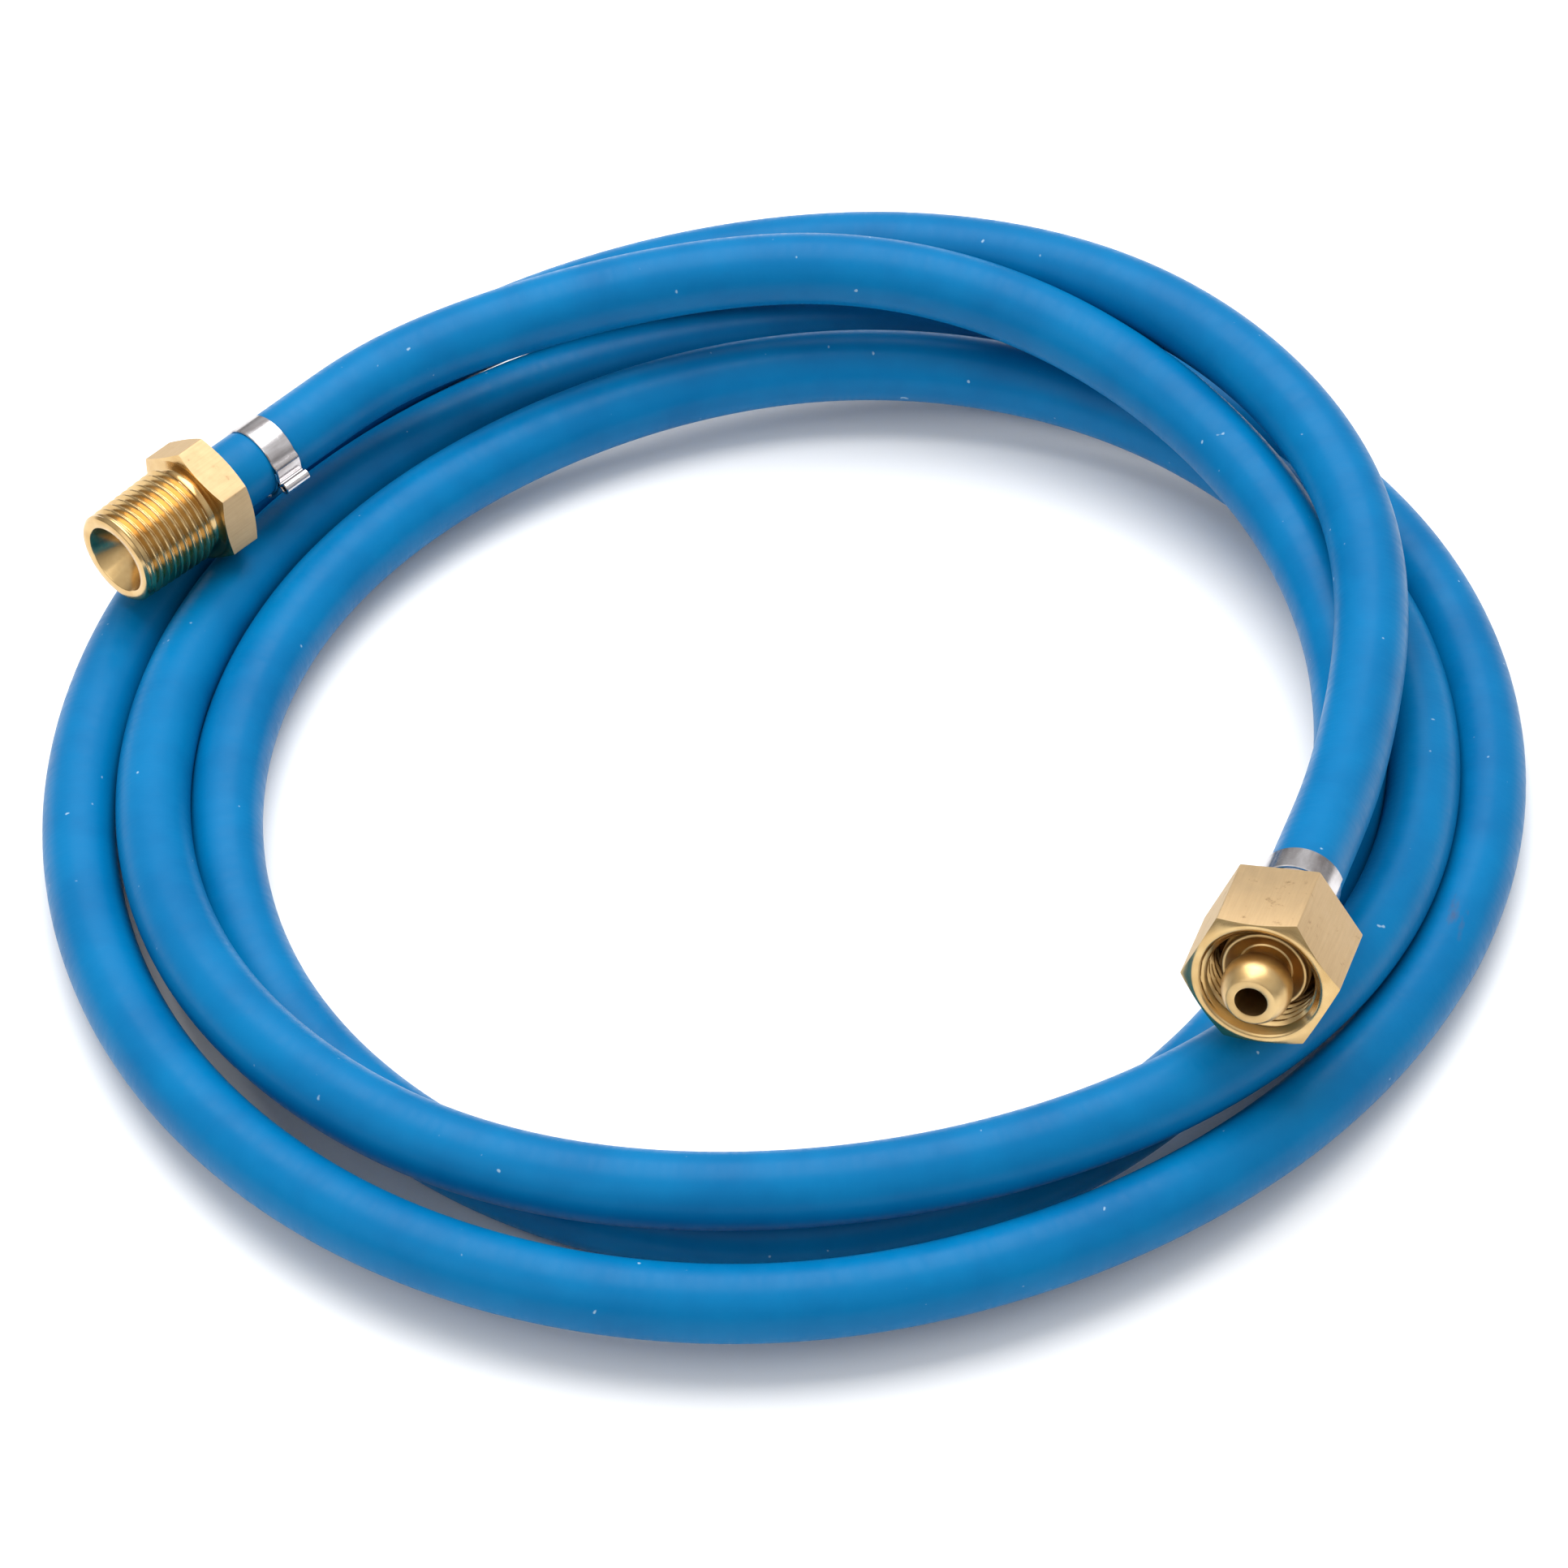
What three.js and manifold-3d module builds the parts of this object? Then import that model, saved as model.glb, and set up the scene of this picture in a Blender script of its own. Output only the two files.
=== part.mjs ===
// Coiled rubber air hose, about 2.8 m long, with a male taper-thread tailpiece on one end, a swivel nut
// round a ball-nosed nipple on the other, and an ear clamp over each tail.
// Millimetres, +Z up. The origin is the middle of the coil on the surface that it lies on.
import * as THREE from 'three';
import { NURBSCurve } from 'three/addons/curves/NURBSCurve.js';
import { mergeVertices } from 'three/addons/utils/BufferGeometryUtils.js';
import Module from 'manifold-3d';

const wasm = await Module();
wasm.setup();

// ---------------------------------------------------------------- driving dimensions
const HOSE_OD = 15;
const CLEARANCE = 0.3; // between pieces that touch
const FUSE = 0.3; // how far joined shapes run into each other
const PAST = 1; // how far a cutting shape runs past what it cuts
const SKIN = 0.01; // how far a trimming shape's ends stand off the ends that it leaves alone
const ROW = 0.1; // tolerance when rows of points are picked by height
const ROUND = 32; // sides of a turned piece
const TRIM_SIDES = 48; // sides of the round shape that chamfers a hexagon
const ROOM_SIDES = 16; // sides of the room inside the hose's ends
const TUBE_HALF_SIDES = 6; // half the sides of a plain hose body

// the coil, as the turns that lie on the surface
const COIL = { innerRadius: 99, outerRadius: 156, height: HOSE_OD, edgeRadius: 5, sides: 48 };

// where the hose ends, which way each fitting points (heading from +X, pitch up), and how it is rolled
const MALE_END = { at: [-134.8, 31, 29.5], heading: 243.5, pitch: -2, hexRoll: 37.5, earAngle: -6 };
const NUT_END = { at: [109.1, -34.7, 44.4], heading: 270, pitch: 10.6, hexRoll: 8.2, earAngle: -168 };

// the tail barbs inside the hose
const BARB = {
  length: 26, tipRadius: 3.7, ridgeRadius: 4.6, rootRadius: 4.0,
  ridges: 3, pitch: 6, crestShare: 0.75, dropShare: 0.85,
};

// the male tailpiece, with lengths counted outward from the hose's end
const MALE = {
  hexFlats: 24, hexLength: 7.8, hexChamfer: 0.7, faceStep: 0.3, boreRadius: 2.75,
  neckStep: 1.5, neckLength: 1.4, runOut: 0.3,
  threadRadius: 10.7, threadLength: 18.8, taper: 1 / 32, threadDepth: 1.1, pitch: 1.814,
  leadIn: 0.6, rim: 1.9, coneHalfAngle: 30,
};

// the ball-nosed nipple
const NIPPLE = {
  stemRadius: 5.4, boreRadius: 3.15,
  collarFrom: 14.5, collarLength: 3, collarRadius: 8.7, collarChamfer: 0.8,
  neckRadius: 5, ballRadius: 6.85, ballSteps: 10, faceRadius: 4.8, length: 27.7,
};

// the swivel nut, pushed back against the hose; its radii build up from the collar that passes its thread
const NUT = {
  from: 2.1, length: 19.6, rearWall: 3, runningClearance: 0.5,
  collarPlay: 1.65, threadDepth: 1.15, threadLength: 10.6, pitch: 1.814, runIn: 0.4,
  reliefDepth: 0.2, shoulderBevel: 2, mouthFlare: 0.6, mouthDepth: 1.6,
  faceWidth: 1.1, flatStep: 0.3, chamferAngle: 25,
};

// the ear clamps: a band, its overlapping end, and the crimped ear
const CLAMP = {
  centre: -13, width: 6.4, thickness: 0.7, sides: 40,
  lapFrom: 191, lapTo: 347, lapThickness: 0.6, lapWidth: 5.8,
  earBase: 2.4, earNeck: 0.8, earNeckAt: 0.9, earLoop: 1.25, earReach: 1.85, earWidth: 5.8, holeRadius: 0.55,
  curveSegments: 8,
};
const NUT_CLAMP_CENTRE = -9.3;

// the route of the hose: [turn angle in degrees, radius, height], one control point every 30 degrees
const TAIL_STEP = 30; // spacing of the control points on each straight tail
const TURN_STEP = 30;
const FIRST_TURN = 105;
const STATIONS = [
  [134, 43.5], [133, 31.5], [126, 19.5], [114.5, 16], [110.5, 11.5], [114, 9.5], [119.5, 7], [120, 8],
  [120.5, 8.5], [119.5, 9.5], [120, 10], [121, 12], [129.5, 15.5], [137.5, 14.5], [139, 10.5], [131, 13.5],
  [125, 21.5], [120, 25.5], [121, 24.5], [128.5, 20], [134.5, 19], [134.5, 13], [137, 8.5], [140.5, 7.5],
  [151, 8], [155, 8.5], [154.5, 8], [145.5, 7], [135.5, 9.5], [135.5, 14.5], [143, 14.5], [149, 14.5],
  [149.5, 10], [150.5, 7.5], [153, 7], [156, 15], [153, 29], [148, 39.5], [138.5, 33],
];
// stretches of the route that stand clear of the coil's top, as knots of the route's curve
const MALE_LEAD = { from: 3, to: 7.5, steps: 10 };
const CROSSOVER = { from: 22.5, to: 24.15, steps: 4 };
const NUT_LEAD = { from: 41.75, to: 47, steps: 11 };

// ---------------------------------------------------------------- solids
/** A closed geometry as a solid: shared vertices merged, slivers dropped, faces turned outward. */
function solid(geometry) {
  const plain = new THREE.BufferGeometry();
  plain.setAttribute('position', geometry.getAttribute('position').clone());
  if (geometry.index) plain.setIndex(geometry.index.clone());
  const merged = mergeVertices(plain, 1e-4);
  const place = merged.getAttribute('position');
  const all = merged.index.array;
  const corner = [new THREE.Vector3(), new THREE.Vector3(), new THREE.Vector3()];
  const kept = [];
  let volume = 0;
  for (let i = 0; i < all.length; i += 3) {
    const [a, b, c] = [all[i], all[i + 1], all[i + 2]];
    if (a === b || b === c || c === a) continue;
    kept.push(a, b, c);
    [a, b, c].forEach((vertex, k) => corner[k].fromBufferAttribute(place, vertex));
    volume += corner[0].dot(corner[1].cross(corner[2]));
  }
  if (volume < 0) kept.reverse();
  const vertProperties = new Float32Array(place.array);
  return new wasm.Manifold(new wasm.Mesh({ numProp: 3, vertProperties, triVerts: new Uint32Array(kept) }));
}

/** A solid's surface as a geometry. */
function surface(body) {
  const mesh = body.getMesh();
  const geometry = new THREE.BufferGeometry();
  geometry.setAttribute('position', new THREE.BufferAttribute(new Float32Array(mesh.vertProperties), 3));
  geometry.setIndex(new THREE.BufferAttribute(new Uint32Array(mesh.triVerts), 1));
  geometry.computeVertexNormals();
  return geometry;
}

/** A profile of [radius, height] pairs turned about Z, which ends on the axis or closes on itself. */
function turned(profile, sides = ROUND) {
  const points = profile.map(([radius, height]) => new THREE.Vector2(radius, height));
  if (profile[0][0] > 0) points.push(points[0].clone());
  return new THREE.LatheGeometry(points, sides).rotateX(Math.PI / 2);
}

/** Sinks helical grooves: rows of points from one height to another move in by a V-shaped wave. */
function cutThread(geometry, { from, to, outside, pitch, depth }) {
  const place = geometry.getAttribute('position');
  for (let i = 0; i < place.count; i++) {
    const [x, y, z] = [place.getX(i), place.getY(i), place.getZ(i)];
    const radius = Math.hypot(x, y);
    if (z < from - ROW || z > to + ROW || radius < outside) continue;
    const turn = THREE.MathUtils.euclideanModulo(z / pitch - Math.atan2(y, x) / (2 * Math.PI), 1);
    const scale = 1 - (depth * Math.abs(2 * turn - 1)) / radius;
    place.setXY(i, x * scale, y * scale);
  }
  return geometry;
}

/** Profile points up a threaded length, four to a pitch. */
function threadPoints(from, to, pitch, radiusAt) {
  const count = Math.round((4 * (to - from)) / pitch);
  return Array.from({ length: count + 1 }, (_, i) => from + ((to - from) * i) / count)
    .map((height) => [radiusAt(height), height]);
}

/** A hexagonal prism along Z, with both ends chamfered to a circle where a chamfer is given. */
function hexagon({ flats, from, to, roll, frontChamfer, backChamfer, chamferRadius }) {
  const cornerRadius = flats / Math.sqrt(3);
  const corners = Array.from({ length: 6 }, (_, i) => THREE.MathUtils.degToRad(roll + 60 * i))
    .map((angle) => new THREE.Vector2(cornerRadius * Math.cos(angle), cornerRadius * Math.sin(angle)));
  const depth = to - from;
  const prism = new THREE.ExtrudeGeometry(new THREE.Shape(corners), { depth, bevelEnabled: false });
  prism.translate(0, 0, from);
  const round = cornerRadius + PAST;
  const slope = (round - chamferRadius) / (cornerRadius - chamferRadius);
  const [low, high] = [from - SKIN, to + SKIN];
  const profile = [[0, low], [backChamfer ? chamferRadius : round, low]];
  if (backChamfer) profile.push([round, from + backChamfer * slope]);
  if (frontChamfer) profile.push([round, to - frontChamfer * slope]);
  profile.push([frontChamfer ? chamferRadius : round, high], [0, high]);
  return solid(prism).intersect(solid(turned(profile, TRIM_SIDES)));
}

// ---------------------------------------------------------------- where things are
/** The place of a fitting: local Z points out of the hose along the tail, local X is level. */
function endFrame({ at, heading, pitch }) {
  const [turn, tilt] = [THREE.MathUtils.degToRad(heading), THREE.MathUtils.degToRad(pitch)];
  const level = Math.cos(tilt);
  const out = new THREE.Vector3(Math.cos(turn) * level, Math.sin(turn) * level, Math.sin(tilt));
  const side = new THREE.Vector3(0, 0, 1).cross(out).normalize();
  const up = out.clone().cross(side);
  return new THREE.Matrix4().makeBasis(side, up, out).setPosition(...at);
}

/** Four control points in a straight line along a tail, from outside the hose's end inward. */
function tailPoints(end) {
  const frame = endFrame(end);
  return [1, 0, -1, -2].map((step) => new THREE.Vector3(0, 0, step * TAIL_STEP).applyMatrix4(frame));
}

/** The hose's centre line: a uniform cubic B-spline over the two tails and the turns between them. */
function hoseRoute() {
  const turns = STATIONS.map(([radius, height], i) => {
    const angle = THREE.MathUtils.degToRad(FIRST_TURN - TURN_STEP * i);
    return new THREE.Vector3(radius * Math.cos(angle), radius * Math.sin(angle), height);
  });
  const control = [...tailPoints(MALE_END), ...turns, ...tailPoints(NUT_END).reverse()];
  const knots = Array.from({ length: control.length + 4 }, (_, i) => i);
  const weighted = control.map((point) => new THREE.Vector4(point.x, point.y, point.z, 1));
  return { curve: new NURBSCurve(3, knots, weighted, 3, control.length), first: 3, last: control.length };
}

const route = hoseRoute();

/** The part of the route between two knots. */
class Stretch extends THREE.Curve {
  constructor(from, to) {
    super();
    this.from = from;
    this.to = to;
  }

  getPoint(t, target = new THREE.Vector3()) {
    const knot = this.from + (this.to - this.from) * t;
    return route.curve.getPoint((knot - route.first) / (route.last - route.first), target);
  }
}

// ---------------------------------------------------------------- hose
function circle(radius) {
  return new THREE.Shape().absarc(0, 0, radius, 0, 2 * Math.PI, false);
}

/** A plain hose body along a stretch of the route. */
function hoseTube({ from, to, steps }) {
  const extrudePath = new Stretch(from, to);
  return solid(new THREE.ExtrudeGeometry(circle(HOSE_OD / 2), {
    steps, extrudePath, curveSegments: TUBE_HALF_SIDES, bevelEnabled: false,
  }));
}

/** The room that a barbed tail takes inside the end of the hose. */
function tailRoom(end) {
  const radius = BARB.ridgeRadius + CLEARANCE;
  const depth = -BARB.length - CLEARANCE;
  const room = turned([[0, depth], [radius, depth], [radius, PAST], [0, PAST]], ROOM_SIDES);
  return solid(room.applyMatrix4(endFrame(end)));
}

function hoseMaleLead() {
  return surface(hoseTube(MALE_LEAD).subtract(tailRoom(MALE_END)));
}

function hoseNutLead() {
  return surface(hoseTube(NUT_LEAD).subtract(tailRoom(NUT_END)));
}

/** The outer shape of the turns that lie on the surface: a flat-bottomed ring with rounded edges. */
function hoseCoil() {
  const { innerRadius, outerRadius, height, edgeRadius, sides } = COIL;
  const arc = (radius, z, start) => [0, 1, 2].map((i) => {
    const angle = start + (i * Math.PI) / 4;
    return [radius + edgeRadius * Math.cos(angle), z + edgeRadius * Math.sin(angle)];
  });
  const [inner, outer] = [innerRadius + edgeRadius, outerRadius - edgeRadius];
  const [low, high] = [edgeRadius, height - edgeRadius];
  const section = [
    ...arc(inner, low, Math.PI), ...arc(outer, low, -Math.PI / 2), ...arc(outer, high, 0),
    ...arc(inner, high, Math.PI / 2),
  ];
  return surface(solid(turned(section, sides)));
}

// ---------------------------------------------------------------- fittings
/** The outside of a barbed tail, from its tip to the hose's end: ramps that rise outward and drop back. */
function barbPoints() {
  const { length, tipRadius, ridgeRadius, rootRadius, ridges, pitch, crestShare, dropShare } = BARB;
  const points = [];
  for (let i = 0; i < ridges; i++) {
    const start = -length + i * pitch;
    points.push([i === 0 ? tipRadius : rootRadius, start]);
    points.push([ridgeRadius, start + pitch * crestShare]);
    points.push([rootRadius, start + pitch * dropShare]);
  }
  return points;
}

function maleTailpiece() {
  const hexTo = CLEARANCE + MALE.hexLength;
  const threadFrom = hexTo + MALE.neckLength;
  const threadTo = threadFrom + MALE.threadLength;
  const crestAt = (height) => MALE.threadRadius - MALE.taper * (height - threadFrom);
  const neckRadius = MALE.threadRadius - MALE.neckStep;
  const leadFrom = threadTo - MALE.leadIn;
  const rimRadius = crestAt(threadTo) - MALE.leadIn;
  const coneRadius = rimRadius - MALE.rim;
  const coneSlope = Math.tan(THREE.MathUtils.degToRad(MALE.coneHalfAngle));
  const coneFrom = threadTo - (coneRadius - MALE.boreRadius) / coneSlope;
  const inHex = CLEARANCE + MALE.hexLength / 2;
  const body = turned([
    ...barbPoints(),
    [BARB.rootRadius, inHex], [neckRadius, inHex], [neckRadius, threadFrom - MALE.runOut],
    ...threadPoints(threadFrom, leadFrom, MALE.pitch, crestAt),
    [rimRadius, threadTo], [coneRadius, threadTo],
    [MALE.boreRadius, coneFrom], [MALE.boreRadius, -BARB.length],
  ]);
  cutThread(body, {
    from: threadFrom, to: leadFrom, outside: neckRadius, pitch: MALE.pitch, depth: MALE.threadDepth,
  });
  const hex = hexagon({
    flats: MALE.hexFlats, from: CLEARANCE, to: hexTo, roll: MALE_END.hexRoll,
    frontChamfer: MALE.hexChamfer, backChamfer: MALE.hexChamfer,
    chamferRadius: MALE.hexFlats / 2 - MALE.faceStep,
  });
  const hole = (MALE.boreRadius + BARB.rootRadius) / 2;
  const bore = turned([[0, -PAST], [hole, -PAST], [hole, hexTo + PAST], [0, hexTo + PAST]]);
  return surface(hex.subtract(solid(bore)).add(solid(body)));
}

function ballNoseNipple() {
  const { stemRadius, boreRadius, neckRadius, ballRadius, ballSteps, faceRadius, length } = NIPPLE;
  const { collarFrom, collarLength, collarRadius, collarChamfer } = NIPPLE;
  const ballCentre = length - Math.sqrt(ballRadius ** 2 - faceRadius ** 2);
  const start = -Math.acos(neckRadius / ballRadius);
  const end = Math.acos(faceRadius / ballRadius);
  const ball = Array.from({ length: ballSteps + 1 }, (_, i) => start + ((end - start) * i) / ballSteps)
    .map((angle) => [ballRadius * Math.cos(angle), ballCentre + ballRadius * Math.sin(angle)]);
  const collarTo = collarFrom + collarLength;
  return surface(solid(turned([
    ...barbPoints(),
    [BARB.rootRadius, CLEARANCE], [stemRadius, CLEARANCE], [stemRadius, collarFrom],
    [collarRadius, collarFrom], [collarRadius, collarTo - collarChamfer],
    [collarRadius - collarChamfer, collarTo],
    [neckRadius, collarTo],
    ...ball,
    [boreRadius, length], [boreRadius, -BARB.length],
  ])));
}

function swivelNut() {
  const to = NUT.from + NUT.length;
  const mouthFrom = to - NUT.mouthDepth;
  const threadFrom = mouthFrom - NUT.threadLength;
  const shoulder = NUT.from + NUT.rearWall;
  const hole = NIPPLE.stemRadius + NUT.runningClearance;
  const threadRadius = NIPPLE.collarRadius + NUT.collarPlay + NUT.threadDepth;
  const reliefRadius = threadRadius + NUT.reliefDepth;
  const mouthRadius = threadRadius + NUT.mouthFlare;
  const chamferRadius = mouthRadius + NUT.faceWidth;
  const flats = 2 * (chamferRadius + NUT.flatStep);
  const chamferSlope = Math.tan(THREE.MathUtils.degToRad(NUT.chamferAngle));
  const blank = hexagon({
    flats, from: NUT.from, to, roll: NUT_END.hexRoll, chamferRadius,
    frontChamfer: (flats / Math.sqrt(3) - chamferRadius) * chamferSlope,
  });
  const cavity = turned([
    [0, NUT.from - PAST], [hole, NUT.from - PAST], [hole, shoulder],
    [reliefRadius - NUT.shoulderBevel, shoulder],
    [reliefRadius, shoulder + NUT.shoulderBevel], [reliefRadius, threadFrom - NUT.runIn],
    ...threadPoints(threadFrom, mouthFrom, NUT.pitch, () => threadRadius),
    [mouthRadius, to], [mouthRadius, to + PAST], [0, to + PAST],
  ]);
  cutThread(cavity, {
    from: threadFrom, to: mouthFrom, outside: hole, pitch: NUT.pitch, depth: NUT.threadDepth,
  });
  return surface(blank.subtract(solid(cavity)));
}

/** The crimped ear, seen along the hose: two legs that pinch in to a round loop, standing along +X. */
function earShape() {
  const base = HOSE_OD / 2 + CLEARANCE + CLAMP.thickness / 3;
  const loopAt = base + CLAMP.earReach;
  const half = Math.asin(CLAMP.earNeck / CLAMP.earLoop);
  const shape = new THREE.Shape();
  shape.moveTo(base, -CLAMP.earBase);
  shape.quadraticCurveTo(base + CLAMP.earNeckAt / 2, -CLAMP.earNeck, base + CLAMP.earNeckAt, -CLAMP.earNeck);
  shape.absarc(loopAt, 0, CLAMP.earLoop, Math.PI + half, Math.PI - half + 2 * Math.PI, false);
  shape.lineTo(base + CLAMP.earNeckAt, CLAMP.earNeck);
  shape.quadraticCurveTo(base + CLAMP.earNeckAt / 2, CLAMP.earNeck, base, CLAMP.earBase);
  shape.closePath();
  shape.holes.push(new THREE.Path().absarc(loopAt, 0, CLAMP.holeRadius, 0, 2 * Math.PI, true));
  return shape;
}

/** A slice of a ring between two angles. */
function arcSlice(inner, outer, from, to) {
  const [start, end] = [THREE.MathUtils.degToRad(from), THREE.MathUtils.degToRad(to)];
  return new THREE.Shape().absarc(0, 0, outer, start, end, false).absarc(0, 0, inner, end, start, true);
}

/** An outline carried along Z about a height, and turned. */
function strip(shape, centre, width, turn) {
  const options = { depth: width, bevelEnabled: false, curveSegments: CLAMP.curveSegments };
  const geometry = new THREE.ExtrudeGeometry(shape, options).translate(0, 0, centre - width / 2);
  return solid(geometry.rotateZ(THREE.MathUtils.degToRad(turn)));
}

function earClamp(centre, earAngle) {
  const inner = HOSE_OD / 2 + CLEARANCE;
  const outer = inner + CLAMP.thickness;
  const [low, high] = [centre - CLAMP.width / 2, centre + CLAMP.width / 2];
  const band = solid(turned([[inner, low], [outer, low], [outer, high], [inner, high]], CLAMP.sides));
  const lap = arcSlice(outer - FUSE, outer + CLAMP.lapThickness, CLAMP.lapFrom, CLAMP.lapTo);
  const ear = strip(earShape(), centre, CLAMP.earWidth, earAngle);
  return surface(band.add(strip(lap, centre, CLAMP.lapWidth, earAngle)).add(ear));
}

// ---------------------------------------------------------------- the assembly
const materials = {
  rubber: new THREE.MeshStandardMaterial({ color: 0x1272b4, roughness: 0.62, metalness: 0 }),
  brass: new THREE.MeshStandardMaterial({ color: 0xc9a566, roughness: 0.32, metalness: 1 }),
  steel: new THREE.MeshStandardMaterial({ color: 0xb9bbc0, roughness: 0.25, metalness: 1 }),
};

function piece(name, geometry, material) {
  const mesh = new THREE.Mesh(geometry, material.clone());
  mesh.name = name;
  return mesh;
}

/** A group that stands at one end of the hose. */
function fitting(end, ...pieces) {
  const group = new THREE.Group();
  group.applyMatrix4(endFrame(end));
  group.add(...pieces);
  return group;
}

const hose = new THREE.Group();
hose.add(
  piece('hose_coil', hoseCoil(), materials.rubber),
  piece('hose_male_lead', hoseMaleLead(), materials.rubber),
  piece('hose_crossover', surface(hoseTube(CROSSOVER)), materials.rubber),
  piece('hose_nut_lead', hoseNutLead(), materials.rubber),
);

const assembly = new THREE.Group();
assembly.add(
  hose,
  fitting(
    MALE_END,
    piece('male_tailpiece', maleTailpiece(), materials.brass),
    piece('male_ear_clamp', earClamp(CLAMP.centre, MALE_END.earAngle), materials.steel),
  ),
  fitting(
    NUT_END,
    piece('ball_nose_nipple', ballNoseNipple(), materials.brass),
    piece('swivel_nut', swivelNut(), materials.brass),
    piece('nut_ear_clamp', earClamp(NUT_CLAMP_CENTRE, NUT_END.earAngle), materials.steel),
  ),
);

export default assembly;
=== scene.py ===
# %% [markdown]
# # A coiled air hose
# Three and a half loose turns of blue rubber hose lie on a pale surface. One end carries a brass
# tailpiece with a taper thread, the other a brass nut that spins round a ball-nosed nipple, and a
# steel ear clamp holds each tail. The steel and brass are solids of revolution with a few flats,
# and the hose is one section carried along one curve, so almost everything here is a profile
# swept along something. We work in metres, and write small sizes in millimetres times MM.

# %% Load the frame
import math

import bpy
import numpy as np
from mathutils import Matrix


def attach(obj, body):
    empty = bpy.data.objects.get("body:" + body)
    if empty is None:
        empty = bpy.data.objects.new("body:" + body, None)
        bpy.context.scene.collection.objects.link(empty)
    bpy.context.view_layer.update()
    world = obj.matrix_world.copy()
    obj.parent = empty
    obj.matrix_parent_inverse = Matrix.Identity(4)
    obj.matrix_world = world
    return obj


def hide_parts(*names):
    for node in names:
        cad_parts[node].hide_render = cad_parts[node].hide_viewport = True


MM = 0.001
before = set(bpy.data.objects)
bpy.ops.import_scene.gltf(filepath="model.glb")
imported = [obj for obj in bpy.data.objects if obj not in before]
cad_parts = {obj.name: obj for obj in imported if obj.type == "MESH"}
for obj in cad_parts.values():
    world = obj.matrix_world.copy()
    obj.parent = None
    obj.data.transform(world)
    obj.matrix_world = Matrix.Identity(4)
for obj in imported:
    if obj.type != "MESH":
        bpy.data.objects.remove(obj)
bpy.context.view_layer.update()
scene = bpy.context.scene

# %% [markdown]
# ## The camera
# A long lens from well back keeps the far turns almost as large as the near ones, as a studio
# picture of a flat coil does. The camera stands a little to the right and looks down at 46 degrees.

# %% Camera
CAMERA_PLACE = (0.2947, -0.9423, 1.0272)
CAMERA_TURN = 17.5
CAMERA_DIP = 45.74
LENS = 161.85

lens = bpy.data.cameras.new("studio_camera")
lens.lens = LENS
lens.sensor_width = 36
lens.clip_end = 20
camera = bpy.data.objects.new("studio_camera", lens)
camera.location = CAMERA_PLACE
camera.rotation_euler = (math.radians(90 - CAMERA_DIP), 0, math.radians(CAMERA_TURN))
scene.collection.objects.link(camera)
scene.camera = camera
print("camera", CAMERA_PLACE, "lens", LENS)

# %% [markdown]
# ## Where the hose runs
# A hose is a fixed length of something springy: it can't turn a corner, so its route is one smooth
# curve. A chain of bezier handles would do, but a uniform cubic B-spline is kinder. It never
# overshoots, its bend changes slowly, and a control point only moves the curve near it. One control
# point every 30 degrees of turn, given as a radius and a height, is enough for turns that wander in
# and out and climb over each other.

# %% Route: the ends and the stations
HOSE_RADIUS = 7.5 * MM
MALE_END = {"at": (-134.8, 31, 29.5), "heading": 243.5, "pitch": -2}
NUT_END = {"at": (109.1, -34.7, 44.4), "heading": 270, "pitch": 10.6}
TAIL_STEP = 30
TURN_STEP = 30
FIRST_TURN = 105
STATIONS = np.array([
    [134, 43.5], [133, 31.5], [126, 19.5], [114.5, 16], [110.5, 11.5], [114, 9.5], [119.5, 7],
    [120, 8], [120.5, 8.5], [119.5, 9.5], [120, 10], [121, 12], [129.5, 15.5], [137.5, 14.5],
    [139, 10.5], [131, 13.5], [125, 21.5], [120, 25.5], [121, 24.5], [128.5, 20], [134.5, 19],
    [134.5, 13], [137, 8.5], [140.5, 7.5], [151, 8], [155, 8.5], [154.5, 8], [145.5, 7],
    [135.5, 9.5], [135.5, 14.5], [143, 14.5], [149, 14.5], [149.5, 10], [150.5, 7.5], [153, 7],
    [156, 15], [153, 29], [148, 39.5], [138.5, 33],
])


def end_frame(end):
    """Three directions and a place: out along the tail, level across it, and the third square to both."""
    turn = math.radians(end["heading"])
    tilt = math.radians(end["pitch"])
    out = np.array([
        math.cos(turn) * math.cos(tilt),
        math.sin(turn) * math.cos(tilt),
        math.sin(tilt),
    ])
    side = np.cross([0, 0, 1], out)
    side = side / np.linalg.norm(side)
    return {"at": np.array(end["at"]) * MM, "side": side, "up": np.cross(out, side), "out": out}


def tail_points(end):
    """Four control points in a straight line, from one step outside the hose's end inward."""
    place = end_frame(end)
    steps = np.array([1, 0, -1, -2])[:, None] * TAIL_STEP * MM
    return place["at"] + steps * place["out"]


turn_angles = np.radians(FIRST_TURN - TURN_STEP * np.arange(len(STATIONS)))
turns = np.stack([
    STATIONS[:, 0] * np.cos(turn_angles),
    STATIONS[:, 0] * np.sin(turn_angles),
    STATIONS[:, 1],
], axis=1) * MM
control = np.concatenate([tail_points(MALE_END), turns, tail_points(NUT_END)[::-1]])
print(len(control), "control points")

# %% Route: the curve itself
SPAN_STEPS = 60


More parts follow.
